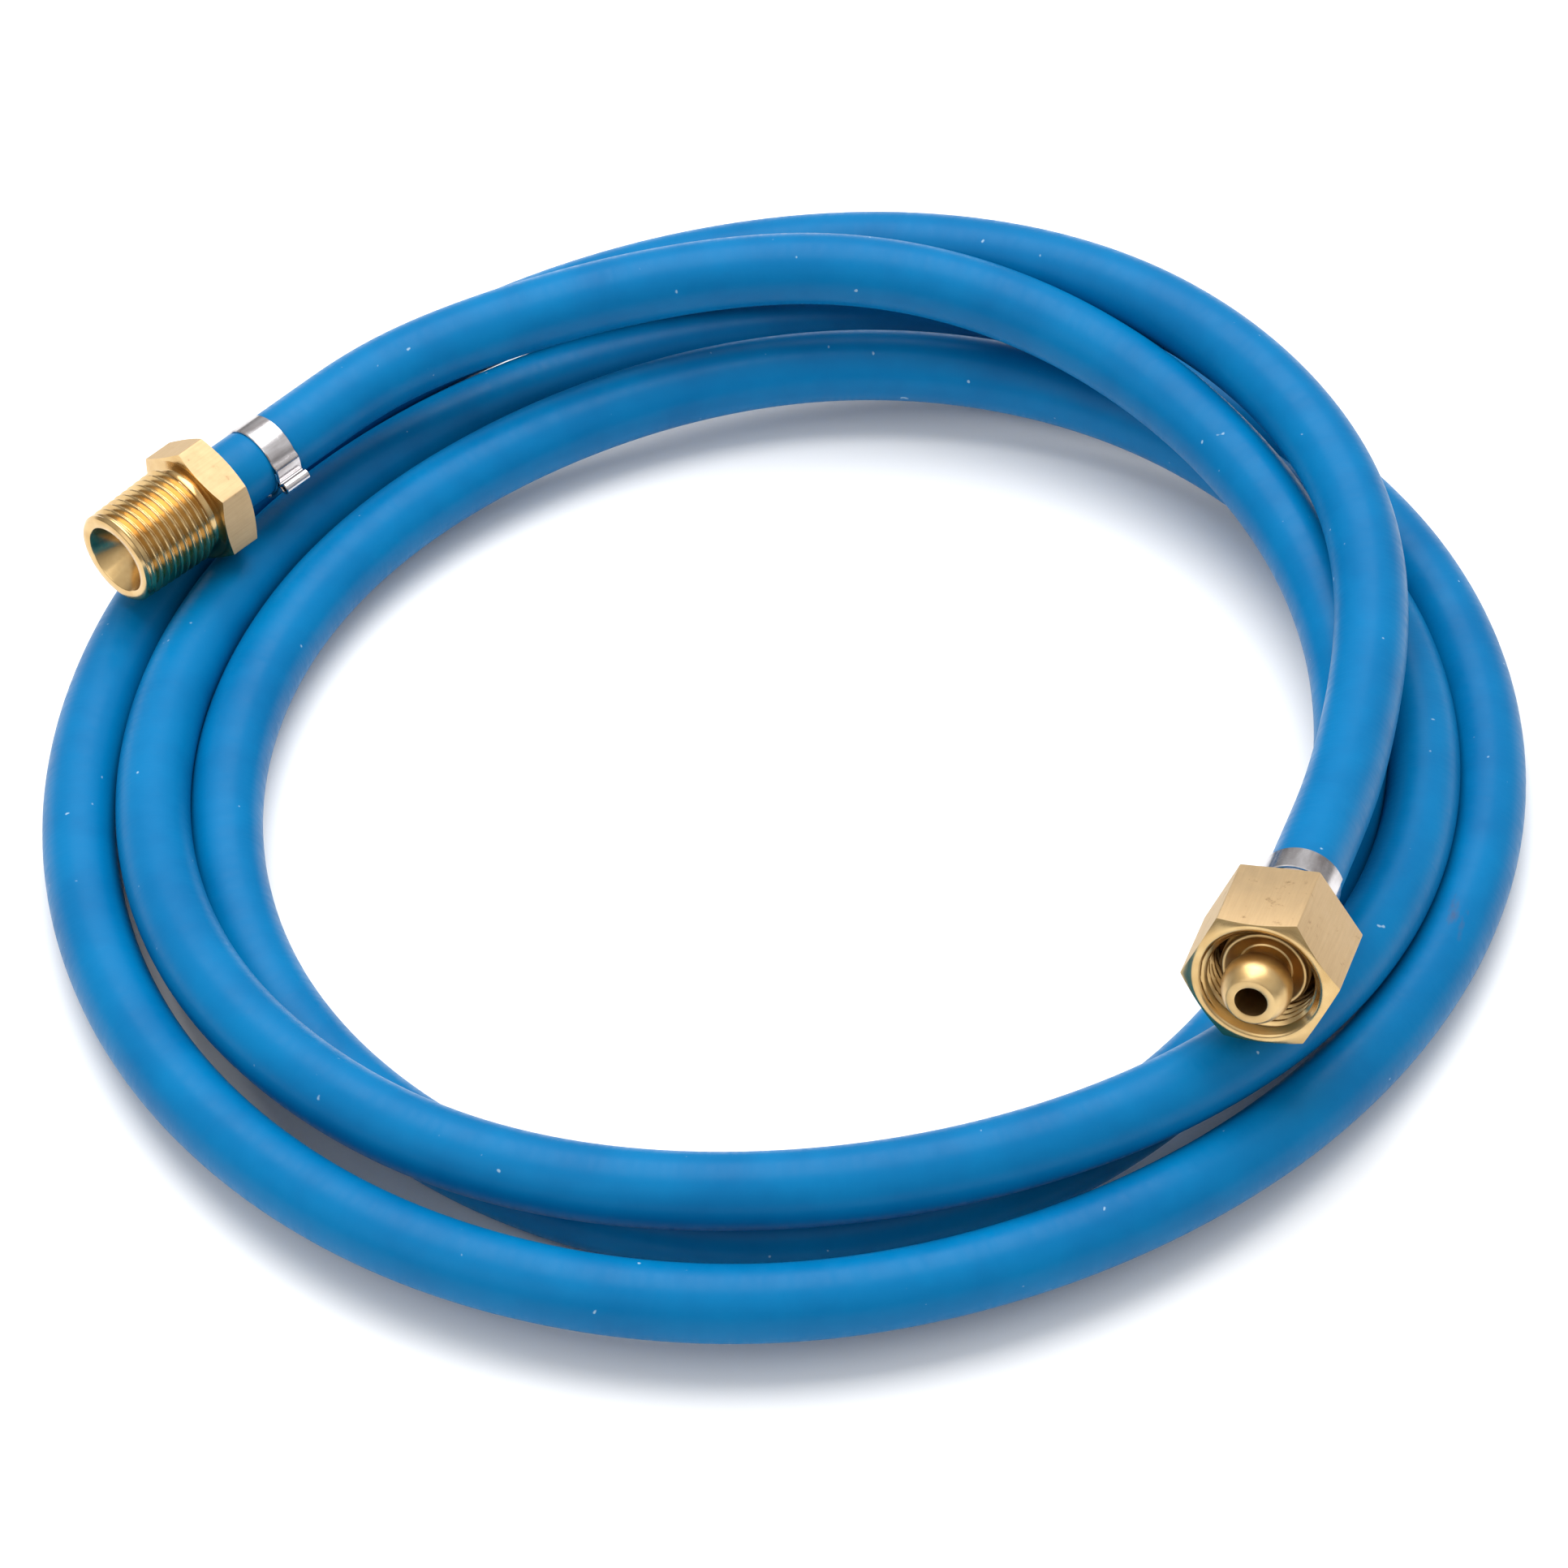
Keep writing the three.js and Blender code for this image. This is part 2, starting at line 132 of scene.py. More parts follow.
def b_spline(points, steps):
    """Each span blends four neighbours. With u running from 0 to 1 the weights, over 6, are
    (1-u) cubed; 3u cubed - 6u squared + 4; -3u cubed + 3u squared + 3u + 1; and u cubed."""
    u = np.linspace(0, 1, steps, endpoint=False)[:, None]
    weights = np.concatenate([
        (1 - u) ** 3,
        3 * u ** 3 - 6 * u ** 2 + 4,
        -3 * u ** 3 + 3 * u ** 2 + 3 * u + 1,
        u ** 3,
    ], axis=1) / 6
    spans = np.stack([points[:-3], points[1:-2], points[2:-1], points[3:]], axis=1)
    curve = np.einsum("uw,swc->suc", weights, spans).reshape(-1, 3)
    last = (points[-3] + 4 * points[-2] + points[-1]) / 6
    return np.concatenate([curve, last[None]])


def lengths_along(curve):
    """Distance from the first point to each point, along the curve."""
    steps = np.linalg.norm(np.diff(curve, axis=0), axis=1)
    return np.concatenate([[0], np.cumsum(steps)])


route = b_spline(control, SPAN_STEPS)
route_lengths = lengths_along(route)
hose_length = float(route_lengths[-1])
print("hose length", round(hose_length, 4), "m")

# %% [markdown]
# ## Making a mesh from rings
# Every piece is a stack of rings: a grid of points whose columns run round the piece and whose rows
# run along it. One helper turns such a grid into a mesh. It either joins the last ring to the first,
# as on a pipe with a bore, or closes each end with a fan, and it turns the faces outward by the
# sign of the volume, so no piece can come out inside out.

# %% A mesh from a grid of rings
def ring_faces(rows, columns, joined):
    """Quads between neighbouring rings, as a table of four corner numbers."""
    row = np.arange(rows if joined else rows - 1)[:, None]
    column = np.arange(columns)[None, :]
    ahead = (row + 1) % rows
    beside = (column + 1) % columns
    quads = np.stack([
        row * columns + column,
        row * columns + beside,
        ahead * columns + beside,
        ahead * columns + column,
    ], axis=-1)
    return quads.reshape(-1, 4)


def end_fans(rows, columns):
    """Triangles that close the first and the last ring round one extra point each."""
    column = np.arange(columns)
    beside = (column + 1) % columns
    first = np.stack([np.full(columns, rows * columns), beside, column], axis=1)
    start = (rows - 1) * columns
    last = np.stack([np.full(columns, rows * columns + 1), start + column, start + beside], axis=1)
    return np.concatenate([first, last])


def volume_of(points, corners):
    """The sum over triangles of a third of the height times the base, signed by their direction."""
    a, b, c = points[corners[:, 0]], points[corners[:, 1]], points[corners[:, 2]]
    return float(np.einsum("ij,ij->", a, np.cross(b, c))) / 6


def ring_mesh(name, rings, joined, sharp=50):
    """A closed mesh from an array of rings, with its edges sharp where faces meet past an angle."""
    rows, columns = rings.shape[:2]
    points = rings.reshape(-1, 3)
    quads = ring_faces(rows, columns, joined)
    fans = np.empty((0, 3), dtype=int)
    if not joined:
        fans = end_fans(rows, columns)
        points = np.concatenate([points, rings[:1].mean(axis=1), rings[-1:].mean(axis=1)])
    triangles = np.concatenate([quads[:, [0, 1, 2]], quads[:, [0, 2, 3]], fans])
    if volume_of(points, triangles) < 0:
        quads = quads[:, ::-1]
        fans = fans[:, ::-1]
    mesh = bpy.data.meshes.new(name)
    mesh.from_pydata(points.tolist(), [], quads.tolist() + fans.tolist())
    mesh.polygons.foreach_set("use_smooth", np.ones(len(mesh.polygons), dtype=bool))
    mesh.set_sharp_from_angle(angle=math.radians(sharp))
    piece = bpy.data.objects.new(name, mesh)
    scene.collection.objects.link(piece)
    print(name, len(mesh.vertices), "points", len(mesh.polygons), "faces")
    return piece


def remember(piece, name, rows):
    """Keeps a vector for each point, such as its place on the straight hose, for the material."""
    missing = len(piece.data.vertices) - len(rows)
    rows = np.concatenate([rows, np.zeros((missing, 3))])
    attribute = piece.data.attributes.new(name, "FLOAT_VECTOR", "POINT")
    attribute.data.foreach_set("vector", rows.astype(np.float32).ravel())


# %% [markdown]
# ## The hose
# The real hose is pushed hard over a barbed tail at each end and squeezed by a clamp. So its
# section isn't the same all along: the end is open with a bore and rounded lips, and the wall
# draws in under each clamp. We carry a round section along the route, with the radius given for
# each ring. The turns would also take a curve object with a bevel, but a curve can't have a bore,
# a lip or a waist, and it can't keep the place along the hose for the rubber's texture.

# %% Hose: its section along its length
HOSE_SIDES = 48
RING_COUNT = 1500
TAIL_FROM, TAIL_TO, TAIL_STEP = 1.2, 26, 0.5
TAIL_SPAN = 27 * MM
MALE_CLAMP_AT, NUT_CLAMP_AT = 13, 9.3
CLAMP_WIDTH = 6.4 * MM
SQUEEZE = 0.3 * MM
WAIST_SOFTNESS = 0.5 * MM
LIP = [(27, 0.2), (27, 4.9), (0.5, 4.9), (0.12, 5.1), (0, 5.5), (0, 6.8), (0.12, 7.25), (0.5, 7.5)]


def soft_step(x, width):
    """Rises from 0 to 1 about x = 0, most of the way within one width."""
    return 0.5 + 0.5 * np.tanh(x / width)


def squeeze_at(distance, centre):
    """How much a clamp draws the wall in: full under its band, fading over its edges."""
    away = np.abs(distance - centre) - CLAMP_WIDTH / 2
    return SQUEEZE * soft_step(-away, WAIST_SOFTNESS)


lip = np.array(LIP) * MM
tail = np.arange(TAIL_FROM, TAIL_TO, TAIL_STEP) * MM
middle = np.linspace(TAIL_SPAN, hose_length - TAIL_SPAN, RING_COUNT)
inner = np.concatenate([tail, middle, hose_length - tail[::-1]])
along = np.concatenate([lip[:, 0], inner, hose_length - lip[::-1, 0]])
waist = squeeze_at(inner, MALE_CLAMP_AT * MM) + squeeze_at(hose_length - inner, NUT_CLAMP_AT * MM)
radius = np.concatenate([lip[:, 1], HOSE_RADIUS - waist, lip[::-1, 1]])
print(len(along), "rings")

# %% Hose: carry the section along the route
def along_route(distance):
    """The route's point and direction at each distance, read off between its own points."""
    place = np.stack([np.interp(distance, route_lengths, route[:, i]) for i in range(3)], axis=1)
    slope = np.gradient(route, route_lengths, axis=0)
    heading = np.stack([np.interp(distance, route_lengths, slope[:, i]) for i in range(3)], axis=1)
    return place, heading / np.linalg.norm(heading, axis=1, keepdims=True)


centre, heading = along_route(along)
across = np.cross([0, 0, 1], heading)
across = across / np.linalg.norm(across, axis=1, keepdims=True)
above = np.cross(heading, across)
angle = np.linspace(0, 2 * np.pi, HOSE_SIDES, endpoint=False)
rings = centre[:, None] + radius[:, None, None] * (
    np.cos(angle)[None, :, None] * across[:, None] + np.sin(angle)[None, :, None] * above[:, None]
)
hose = ring_mesh("air_hose", rings, joined=False)
straight = np.stack([
    radius[:, None] * np.cos(angle),
    radius[:, None] * np.sin(angle),
    np.repeat(along[:, None], HOSE_SIDES, axis=1),
], axis=-1)
remember(hose, "straight", straight.reshape(-1, 3))
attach(hose, "hose")
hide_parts("hose_coil", "hose_male_lead", "hose_crossover", "hose_nut_lead")

# %% [markdown]
# ## Shapes from bar
# A fitting is turned from hexagon bar. Each ring of its mesh is a radius and a height for every
# direction round the bar, and both may change with the direction: that gives the hexagon, the arcs
# that a chamfer leaves on its flats, and the thread, which is a wave that climbs one pitch in a turn.
# Booleans of cylinders and prisms could make the same shapes, but they leave long slivers that
# shade badly, and here every edge falls on a line of points.

# %% Directions round the bar
CORNER_ROUND = 0.45
CORNER_STEPS = (-2.4, -1.1, -0.55, 0, 0.55, 1.1, 2.4)
FLAT_STEPS = np.arange(5.4, 57, 2.9)


def bar_angles(roll):
    """Directions round a hexagon bar: closer together at its six corners."""
    sector = np.concatenate([CORNER_STEPS, FLAT_STEPS])
    return np.radians((roll + 60 * np.arange(6)[:, None] + sector[None, :]).ravel())


def hexagon_radius(angles, roll, flats):
    """Distance to the flats, with a small round at each corner, seen from the bar's middle."""
    off = np.abs((np.degrees(angles) - roll + 30) % 60 - 30)
    off = np.radians(off)
    flat = flats / 2 / np.cos(np.radians(30) - off)
    middle = flats / math.sqrt(3) - CORNER_ROUND / math.sin(math.radians(60))
    reach = np.clip(CORNER_ROUND ** 2 - (middle * np.sin(off)) ** 2, 0, None)
    rounded = middle * np.cos(off) + np.sqrt(reach)
    meets = math.atan(CORNER_ROUND * 0.5 / (middle + CORNER_ROUND * math.cos(math.radians(30))))
    return np.where(off < meets, np.minimum(rounded, flat), flat)


def ring(angles, radius, height):
    """One ring: a radius and a height for each direction."""
    return np.stack([np.broadcast_to(radius, angles.shape), np.broadcast_to(height, angles.shape)])


def thread_depth(angles, height, pitch):
    """A V-shaped groove from 0 at the crest to 1 at the root, flat for a little at each."""
    turn = (height / pitch - angles / (2 * np.pi)) % 1
    wave = np.abs(2 * turn - 1)
    return np.clip((wave - 0.1) / 0.8, 0, 1)


def bar_piece(name, end, angles, rows):
    """A closed mesh from rings of radius and height, standing at one end of the hose."""
    grid = np.array(rows) * MM
    spread, height = grid[:, 0], grid[:, 1]
    place = end_frame(end)
    local = np.stack([spread * np.cos(angles), spread * np.sin(angles), height], axis=-1)
    axes = np.stack([place["side"], place["up"], place["out"]])
    piece = ring_mesh(name, place["at"] + local @ axes, joined=True)
    remember(piece, "bar", local.reshape(-1, 3))
    return piece


# %% [markdown]
# ## The barbed tails
# Each fitting holds on to the hose by a tail with three barbs. A barb is a ramp that rises toward the
# fitting and then drops back, so that the hose slides on but not off. Three rings make one barb: its
# crest, the foot of its drop, and the end of the level land before the next ramp.

# %% Barbs on a tail
BARBS = 3
BARB_PITCH = 6
TAIL_END = -26
TAIL_TIP, BARB_CREST, TAIL_ROOT = 3.7, 4.6, 4.0
CREST_AT, DROP_AT, LAND_AT = 4.5, 5.1, 5.9


def barbs(angles):
    """Ramps that rise toward the hose's end and drop back, so the hose slides on but not off."""
    rows = [ring(angles, TAIL_TIP, TAIL_END)]
    for start in TAIL_END + BARB_PITCH * np.arange(BARBS):
        rows.append(ring(angles, BARB_CREST, start + CREST_AT))
        rows.append(ring(angles, TAIL_ROOT, start + DROP_AT))
        rows.append(ring(angles, TAIL_ROOT, start + LAND_AT))
    return rows


print("a tail has", len(barbs(bar_angles(0))), "rings, the thickest", BARB_CREST, "mm in radius")

# %% [markdown]
# ## The male tailpiece
# A barbed tail, a hexagon chamfered on both sides, a short neck, a taper thread and a 60 degree
# cone in the mouth, with a bore right through. The thread loses depth near the mouth, where the
# lead-in chamfer cuts it, and it starts at the neck's edge.

# %% Male tailpiece
MALE_ROLL = 37.5
MALE_FLATS = 24
MALE_REAR, MALE_SHOULDER, MALE_FRONT = 0.3, 8.1, 28.3
MALE_BORE = 2.75
MALE_FACE = 11.7
MALE_SLOPE = 0.325
NECK = 9.2
THREAD_FROM = 9.5
PITCH = 1.814
THREAD_STEP = 0.11
MALE_CREST, MALE_DEPTH, TAPER = 10.7, 1.1, 32
FADE_BEFORE, FADE_OVER = 0.7, 1.7
RUN_OUT_SLOPE = 1.3
RIM, LEAD_IN_SLOPE = 9.55, 0.9
CONE_RIM = [(7.72, MALE_FRONT), (7.6, MALE_FRONT - 0.08), (7.5, MALE_FRONT - 0.25)]
CONE_ROOT = [(2.9, 20.14), (MALE_BORE, 19.7), (MALE_BORE, 19.3)]


def chamfered(angles, roll, flats, face_radius, slope, edge, inward):
    """Where a chamfer cone meets the hexagon: the further out the flat, the further from the face."""
    across_bar = hexagon_radius(angles, roll, flats)
    return ring(angles, across_bar, edge + inward * slope * (across_bar - face_radius))


def male_thread(angles, height):
    """Crest on the taper, less the groove, kept inside the neck's edge and the lead-in chamfer."""
    crest = MALE_CREST - (height - THREAD_FROM) / TAPER
    fading = np.clip((MALE_FRONT - FADE_BEFORE - height) / FADE_OVER, 0, 1)
    depth = MALE_DEPTH * thread_depth(angles, height, PITCH) * fading
    rear = NECK + RUN_OUT_SLOPE * (height - THREAD_FROM)
    front = RIM + LEAD_IN_SLOPE * (MALE_FRONT - height)
    return ring(angles, np.minimum(np.minimum(crest - depth, rear), front), height)


angles = bar_angles(MALE_ROLL)
male_thread_heights = np.arange(THREAD_FROM, MALE_FRONT - 0.05, THREAD_STEP)
rows = [ring(angles, MALE_BORE, TAIL_END)]
rows += barbs(angles)
rows += [ring(angles, TAIL_ROOT, MALE_REAR), ring(angles, MALE_FACE - 0.3, MALE_REAR)]
rows += [ring(angles, MALE_FACE, MALE_REAR)]
rows += [chamfered(angles, MALE_ROLL, MALE_FLATS, MALE_FACE, MALE_SLOPE, MALE_REAR, 1)]
rows += [chamfered(angles, MALE_ROLL, MALE_FLATS, MALE_FACE, MALE_SLOPE, MALE_SHOULDER, -1)]
rows += [ring(angles, MALE_FACE, MALE_SHOULDER), ring(angles, MALE_FACE - 0.3, MALE_SHOULDER)]
rows += [ring(angles, NECK + 0.2, MALE_SHOULDER), ring(angles, NECK, MALE_SHOULDER + 0.2)]
rows += [ring(angles, NECK, THREAD_FROM - 0.1)]
rows += [male_thread(angles, height) for height in male_thread_heights]
rows += [ring(angles, RIM - 0.1, MALE_FRONT)]
rows += [ring(angles, *point) for point in CONE_RIM + CONE_ROOT]
male = bar_piece("tailpiece_with_thread", MALE_END, angles, rows)
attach(male, "hose")
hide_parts("male_tailpiece")

# %% [markdown]
# ## The ball-nosed nipple
# Its tail is the same as the other one. Then come a plain stem that the nut spins on, a collar that
# the nut pulls against, dished in front, and the ball that seats in a cone. The ball is cut off
# flat round the bore.

# %% Nipple
BALL_RADIUS = 6.85
BALL_FACE = 4.8
NIPPLE_LENGTH = 27.7
NIPPLE_BORE = 3.15
BALL_NECK = 5.0
COLLAR = [(5.4, 0.3), (5.4, 0.6), (5.4, 14.2), (5.5, 14.5), (8.4, 14.5), (8.7, 14.7), (8.7, 16.6)]
COLLAR_FRONT = [(8.5, 17.2), (8.2, 17.45), (7.8, 17.5), (7.5, 17.3), (5.3, 15.9), (5.0, 16.1)]

angles = bar_angles(0)
ball_middle = NIPPLE_LENGTH - math.sqrt(BALL_RADIUS ** 2 - BALL_FACE ** 2)
ball_from = -math.acos(BALL_NECK / BALL_RADIUS)
ball_to = math.acos(BALL_FACE / BALL_RADIUS)
ball = [
    ring(angles, BALL_RADIUS * math.cos(lift), ball_middle + BALL_RADIUS * math.sin(lift))
    for lift in np.linspace(ball_from, ball_to, 28)
]
rows = [ring(angles, NIPPLE_BORE, TAIL_END)]
rows += barbs(angles)
rows += [ring(angles, TAIL_ROOT, 0.3)]
rows += [ring(angles, *point) for point in COLLAR + COLLAR_FRONT]
rows += ball
rows += [ring(angles, BALL_FACE - 0.1, NIPPLE_LENGTH + 0.02)]
rows += [ring(angles, NIPPLE_BORE + 0.25, NIPPLE_LENGTH)]
rows += [ring(angles, NIPPLE_BORE + 0.05, NIPPLE_LENGTH - 0.08)]
rows += [ring(angles, NIPPLE_BORE, NIPPLE_LENGTH - 0.3)]
nipple = bar_piece("nipple_with_ball", NUT_END, angles, rows)
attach(nipple, "hose")
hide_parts("ball_nose_nipple")

# %% [markdown]
# ## The swivel nut
# The nut is the only piece that moves by itself: it spins on the nipple's stem. It is sharp at the
# back, where the bar was cut off, and chamfered in front. The inside thread is the same wave as on
# the tailpiece, cut outward from the bore, with a plain relief behind it.

# %% Nut
NUT_ROLL = 8.2
NUT_FLATS = 27
NUT_REAR, NUT_SHOULDER, NUT_FRONT = 2.1, 5.1, 21.7
NUT_FACE = 13.2
NUT_HOLE = 5.9
NUT_THREAD_FROM = 9.5
NUT_ROOT, NUT_DEPTH = 11.5, 1.15
MOUTH, MOUTH_SLOPE = 12.1, 0.95
RELIEF, RELIEF_SLOPE = 11.7, 0.8
CHAMFER_SLOPE = math.tan(math.radians(25))


def nut_thread(angles, height):
    """Root on a cylinder, less the crest, kept outside the mouth's countersink and the relief."""
    crest = NUT_ROOT - NUT_DEPTH * (1 - thread_depth(angles, height, PITCH))
    mouth = MOUTH - MOUTH_SLOPE * (NUT_FRONT - height)
    relief = NUT_ROOT - RELIEF_SLOPE * (height - NUT_THREAD_FROM)
    return ring(angles, np.maximum(np.maximum(crest, mouth), relief), height)


angles = bar_angles(NUT_ROLL)
outside = hexagon_radius(angles, NUT_ROLL, NUT_FLATS)
rows = [ring(angles, NUT_HOLE, NUT_REAR), ring(angles, outside - 0.6, NUT_REAR)]
rows += [ring(angles, outside - 0.12, NUT_REAR), ring(angles, outside, NUT_REAR + 0.12)]
rows += [chamfered(angles, NUT_ROLL, NUT_FLATS, NUT_FACE, CHAMFER_SLOPE, NUT_FRONT, -1)]
rows += [ring(angles, NUT_FACE, NUT_FRONT), ring(angles, NUT_FACE - 0.2, NUT_FRONT)]
rows += [ring(angles, MOUTH + 0.15, NUT_FRONT), ring(angles, MOUTH, NUT_FRONT - 0.1)]
nut_thread_heights = np.arange(NUT_FRONT - 0.2, NUT_THREAD_FROM, -THREAD_STEP)
rows += [nut_thread(angles, height) for height in nut_thread_heights]
rows += [ring(angles, RELIEF, NUT_THREAD_FROM - 0.1), ring(angles, RELIEF, NUT_SHOULDER + 2)]
rows += [ring(angles, 9.7, NUT_SHOULDER + 0.05), ring(angles, 9.4, NUT_SHOULDER)]
rows += [ring(angles, NUT_HOLE + 0.1, NUT_SHOULDER), ring(angles, NUT_HOLE, NUT_SHOULDER - 0.1)]
nut = bar_piece("nut_on_nipple", NUT_END, angles, rows)
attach(nut, "nut")
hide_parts("swivel_nut")

# %% [markdown]
# ## The ear clamps
# A clamp is one strip of steel wrapped once and a half round the hose. Its outer end lies on top of
# its inner end, and an ear stands up from the outer layer: pincers squeeze the ear's feet together,
# and that shortens the strip and grips the hose. So the piece is a flat section carried along
# one path: the outer end, the ear, a small step down, and the inner layer all the way round.

# %% Clamp: the strip's path, seen along the hose
STRIP = 0.65
INNER_LEVEL = (HOSE_RADIUS - SQUEEZE) / MM + STRIP / 2
OUTER_LEVEL = INNER_LEVEL + STRIP + 0.03
EAR_FOOT = 9
EAR_NECK, EAR_NECK_RISE = 0.4, 0.7
LOOP_RADIUS, LOOP_RISE = 0.95, 1.65
STEP_FROM, STEP_TO = 24, 37
OUTER_END, INNER_END = -169, 380


def arc_points(start, stop, level_from, level_to, count):
    """Points round the hose from one angle to another, with the radius sliding between two levels."""
    share = np.linspace(0, 1, count)
    turn = np.radians(start + (stop - start) * share)
    blend = share * share * (3 - 2 * share)
    level = level_from + (level_to - level_from) * blend
    return np.stack([level * np.cos(turn), level * np.sin(turn)], axis=1)


def ear_points():
    """Half of the ear: from the foot a leg bends up and in to the neck, then a loop closes over."""
    foot = np.radians(EAR_FOOT)
    start = np.array([OUTER_LEVEL * math.cos(foot), -OUTER_LEVEL * math.sin(foot)])
    bend = np.array([OUTER_LEVEL + 0.05, -EAR_NECK - 0.02])
    neck = np.array([OUTER_LEVEL + EAR_NECK_RISE, -EAR_NECK])
    t = np.linspace(0.06, 1, 12)[:, None]
    leg = (1 - t) ** 2 * start + 2 * t * (1 - t) * bend + t ** 2 * neck
    loop_middle = OUTER_LEVEL + LOOP_RISE
    opening = math.asin(EAR_NECK / LOOP_RADIUS)
    swing = np.linspace(math.pi + opening + 0.15, 2 * math.pi, 16)
    across_loop = loop_middle + LOOP_RADIUS * np.cos(swing)
    loop = np.stack([across_loop, LOOP_RADIUS * np.sin(swing)], axis=1)
    return np.concatenate([leg, loop])


half = ear_points()
other_half = half[::-1][1:] * [1, -1]
strip_path = np.concatenate([
    arc_points(OUTER_END, -EAR_FOOT - 1, OUTER_LEVEL, OUTER_LEVEL, 50),
    half,
    other_half,
    arc_points(EAR_FOOT + 1, STEP_FROM, OUTER_LEVEL, OUTER_LEVEL, 5),
    arc_points(STEP_FROM + 2, STEP_TO, OUTER_LEVEL, INNER_LEVEL, 9),
    arc_points(STEP_TO + 3, INNER_END, INNER_LEVEL, INNER_LEVEL, 110),
])
print("strip length", round(float(lengths_along(strip_path)[-1]), 1), "mm")

# %% Clamp: the flat section carried along the path
EDGE = 0.18
MALE_EAR, NUT_EAR = -6, -168


def strip_section(width, thickness):
    """A rectangle with its corners cut, as across and through distances."""
    w, t = width / 2, thickness / 2
    return np.array([
        [-w + EDGE, -t], [0, -t], [w - EDGE, -t], [w, -t + EDGE], [w, t - EDGE],
        [w - EDGE, t], [0, t], [-w + EDGE, t], [-w, t - EDGE], [-w, -t + EDGE],
    ])


def clamp(name, end, centre, ear_angle):
    """The strip at one place on a tail, turned so that its ear stands at an angle round the hose."""
    turn = math.radians(ear_angle)
    spin = np.array([[math.cos(turn), math.sin(turn)], [-math.sin(turn), math.cos(turn)]])
    path = strip_path @ spin
    forward = np.gradient(path, axis=0)
    forward = forward / np.linalg.norm(forward, axis=1, keepdims=True)
    through = np.stack([forward[:, 1], -forward[:, 0]], axis=1)
    section = strip_section(CLAMP_WIDTH / MM, STRIP)
    flat = path[:, None] + section[None, :, 1:] * through[:, None]
    height = np.broadcast_to(centre + section[:, 0], flat.shape[:2])
    local = np.concatenate([flat, height[..., None]], axis=-1) * MM
    place = end_frame(end)
    axes = np.stack([place["side"], place["up"], place["out"]])
    piece = ring_mesh(name, place["at"] + local @ axes, joined=False, sharp=40)
    run = np.repeat(lengths_along(strip_path)[:, None] * MM, len(section), axis=1)
    wide = np.broadcast_to(section[:, 0] * MM, run.shape)
    deep = np.broadcast_to(section[:, 1] * MM, run.shape)
    remember(piece, "strip", np.stack([run, wide, deep], axis=-1).reshape(-1, 3))
    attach(piece, "hose")
    return piece


male_clamp = clamp("ear_clamp_on_tailpiece", MALE_END, -MALE_CLAMP_AT, MALE_EAR)
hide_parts("male_ear_clamp")
nut_clamp = clamp("ear_clamp_on_nipple", NUT_END, -NUT_CLAMP_AT, NUT_EAR)
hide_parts("nut_ear_clamp")

# %% [markdown]
# The real hose is one fixed length of something flexible.

# %% [markdown]
# ## Materials
# Three finishes: matt blue rubber with the faint print of the cloth that it was cured in, brass in
# two states, and bright strip steel. Each is built from noise that reads the piece's own
# coordinates, so a pattern follows the hose round its turns and the tool marks follow the lathe.

# %% Material helpers: the material and the place on a piece
def new_material(name, color, metallic, roughness):
    """A material with one shader, and short names for adding nodes and links."""
    material = bpy.data.materials.new(name)
    material.use_nodes = True
    nodes = material.node_tree.nodes
    shader = nodes["Principled BSDF"]
    shader.inputs["Base Color"].default_value = (*color, 1)
    shader.inputs["Metallic"].default_value = metallic
    shader.inputs["Roughness"].default_value = roughness
    return material, nodes, material.node_tree.links, shader


def own_place(nodes, name):
    """The vector that the piece keeps for each of its points."""
    node = nodes.new("ShaderNodeAttribute")
    node.attribute_name = name
    return node.outputs["Vector"]


def stretched(nodes, links, source, scale):
    """The same place, stretched by three numbers."""
    node = nodes.new("ShaderNodeMapping")
    node.inputs["Scale"].default_value = scale
    links.new(source, node.inputs["Vector"])
    return node.outputs["Vector"]


# %% Material helpers: noise, ramps, mixes and bumps
def noise(nodes, links, source, scale, detail=3, rough=0.5):
    """Soft random values from 0 to 1."""
    node = nodes.new("ShaderNodeTexNoise")
    node.inputs["Scale"].default_value = scale
    node.inputs["Detail"].default_value = detail
    node.inputs["Roughness"].default_value = rough
    links.new(source, node.inputs["Vector"])
    return node.outputs["Fac"]


def ramp(nodes, links, source, low, high, start=0.0, stop=1.0):
    """Maps a value from one range onto another, and holds it there."""
    node = nodes.new("ShaderNodeMapRange")
    node.inputs["From Min"].default_value = low
    node.inputs["From Max"].default_value = high
    node.inputs["To Min"].default_value = start
    node.inputs["To Max"].default_value = stop
    links.new(source, node.inputs["Value"])
    return node.outputs["Result"]


def blend(nodes, links, share, first, second):
    """Mixes two colours, each a colour or a socket, by a share."""
    node = nodes.new("ShaderNodeMix")
    node.data_type = "RGBA"
    links.new(share, node.inputs["Factor"])
    for color, socket in ((first, node.inputs[6]), (second, node.inputs[7])):
        if isinstance(color, tuple):
            socket.default_value = (*color, 1)
        else:
            links.new(color, socket)
    return node.outputs[2]


def mixed(nodes, links, share, first, second):
    """Mixes two values by a share."""
    node = nodes.new("ShaderNodeMix")
    links.new(share, node.inputs["Factor"])
    links.new(first, node.inputs["A"])
    links.new(second, node.inputs["B"])
    return node.outputs["Result"]


def bumped(nodes, links, shader, height, strength, distance, under=None):
    """Tilts the surface by a height, on top of another bump if there is one."""
    node = nodes.new("ShaderNodeBump")
    node.inputs["Strength"].default_value = strength
    node.inputs["Distance"].default_value = distance
    links.new(height, node.inputs["Height"])
    if under is not None:
        links.new(under, node.inputs["Normal"])
    links.new(node.outputs["Normal"], shader.inputs["Normal"])
    return node.outputs["Normal"]


